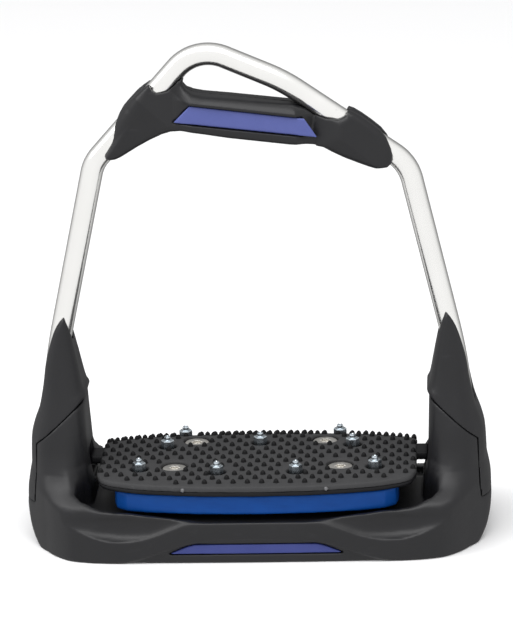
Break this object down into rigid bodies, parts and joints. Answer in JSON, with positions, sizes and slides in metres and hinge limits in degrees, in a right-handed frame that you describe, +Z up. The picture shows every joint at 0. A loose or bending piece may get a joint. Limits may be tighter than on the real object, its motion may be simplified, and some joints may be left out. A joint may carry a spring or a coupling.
{
  "type": "stirrup iron",
  "caption": "Shock absorbing stirrup iron: steel arch in a moulded base, leather eye with cover, studded tread that presses and tilts on a rubber pad.",
  "frame": {"origin": "middle of the standing face, under the middle of the base", "axes": "+Z up to the leather eye, +X to the right across the tread, -Y the front that the foot enters from"},
  "size_m": [0.1684, 0.078, 0.1809],
  "materials": {
    "charcoal_plastic": "moulded glass-filled plastic with a fine grain and a soft sheen",
    "plate_plastic": "moulded glass-filled plastic",
    "grip_rubber": "matte spiked rubber",
    "blue_rubber": "smooth royal blue elastomer",
    "badge_blue": "smooth blue-violet inlay",
    "polished_steel": "polished stainless steel rod",
    "satin_steel": "turned stainless steel",
    "zinc_steel": "bright zinc plating"
  },
  "bodies": {
    "frame": {"base_frame": "charcoal_plastic", "arch_rod": "polished_steel", "left_upright_cover": "charcoal_plastic", "left_rod_pin": "zinc_steel", "left_cover_screw_front": "zinc_steel", "left_cover_screw_rear": "zinc_steel", "right_upright_cover": "charcoal_plastic", "right_rod_pin": "zinc_steel", "right_cover_screw_front": "zinc_steel", "right_cover_screw_rear": "zinc_steel", "front_base_badge": "badge_blue", "rear_base_badge": "badge_blue", "eye_cover_front": "charcoal_plastic", "eye_cover_rear": "charcoal_plastic", "front_eye_badge": "badge_blue", "rear_eye_badge": "badge_blue", "left_eye_screw": "zinc_steel", "right_eye_screw": "zinc_steel", "pad_lower_plate": "zinc_steel", "base_screw_1": "zinc_steel", "base_screw_2": "zinc_steel", "base_screw_3": "zinc_steel", "base_screw_4": "zinc_steel"},
    "cushion": {"shock_pad": "blue_rubber"},
    "tread": {"pad_upper_plate": "zinc_steel", "tread_plate": "plate_plastic", "grip_pad": "grip_rubber", "stud_1": "zinc_steel", "stud_2": "zinc_steel", "stud_3": "zinc_steel", "stud_4": "zinc_steel", "stud_5": "zinc_steel", "stud_6": "zinc_steel", "stud_7": "zinc_steel", "stud_8": "zinc_steel", "stud_9": "zinc_steel", "tread_screw_1": "satin_steel", "tread_screw_2": "satin_steel", "tread_screw_3": "satin_steel", "tread_screw_4": "satin_steel"}
  },
  "joints": [
    {"name": "tread_tilt", "type": "hinge", "parent": "frame", "child": "cushion", "pos_m": [0, -0.009, 0.016], "axis": [1, 0, 0], "range_deg": [-2, 2], "stiffness_Nm_per_rad": 40, "deforming": ["shock_pad"]},
    {"name": "tread_press", "type": "slide", "parent": "cushion", "child": "tread", "axis": [0, 0, -1], "range_m": [0, 0.0025], "stiffness_N_per_m": 120000, "deforming": ["shock_pad"]}
  ]
}
